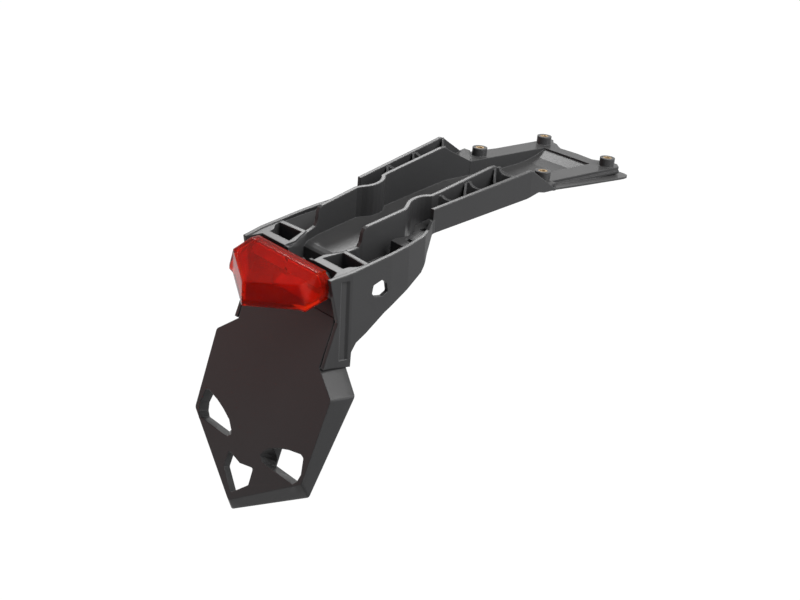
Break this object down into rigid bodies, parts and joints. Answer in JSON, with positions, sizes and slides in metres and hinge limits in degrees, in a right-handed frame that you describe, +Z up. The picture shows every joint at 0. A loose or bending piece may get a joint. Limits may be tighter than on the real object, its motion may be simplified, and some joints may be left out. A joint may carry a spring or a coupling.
{
  "type": "motorcycle rear fender",
  "caption": "Moulded motorcycle tail fender with a bossed front plate, a cable channel, side rails, skirts, a faceted tail lamp and a flared plate holder with cut-outs.",
  "frame": {"origin": "middle of the four-boss pattern, on the boss tops", "axes": "+X the bike's right, +Y forward (the long way of the fender), +Z up, along the bosses"},
  "size_m": [0.1682, 0.4044, 0.2753],
  "materials": {
    "body_plastic": "satin, fine moulded grain",
    "lens_red": "clear red, polished",
    "housing_plastic": "matt",
    "seal_rubber": "matt",
    "board": "lacquered",
    "reflector": "glossy",
    "insert_brass": "turned",
    "screw_steel": "zinc plated",
    "diode": "clear resin"
  },
  "bodies": {
    "root": {"fender_body": "body_plastic", "lamp_lens": "lens_red", "lamp_housing": "housing_plastic", "lamp_gasket": "seal_rubber", "led_board": "board", "lamp_reflector": "reflector", "insert_front_right": "insert_brass", "insert_front_left": "insert_brass", "insert_rear_right": "insert_brass", "insert_rear_left": "insert_brass", "lamp_screw_right": "screw_steel", "lamp_screw_left": "screw_steel", "cable_grommet": "seal_rubber", "led_1": "diode", "led_2": "diode", "led_3": "diode", "led_4": "diode", "led_5": "diode", "led_6": "diode", "led_7": "diode", "led_8": "diode"}
  },
  "joints": []
}
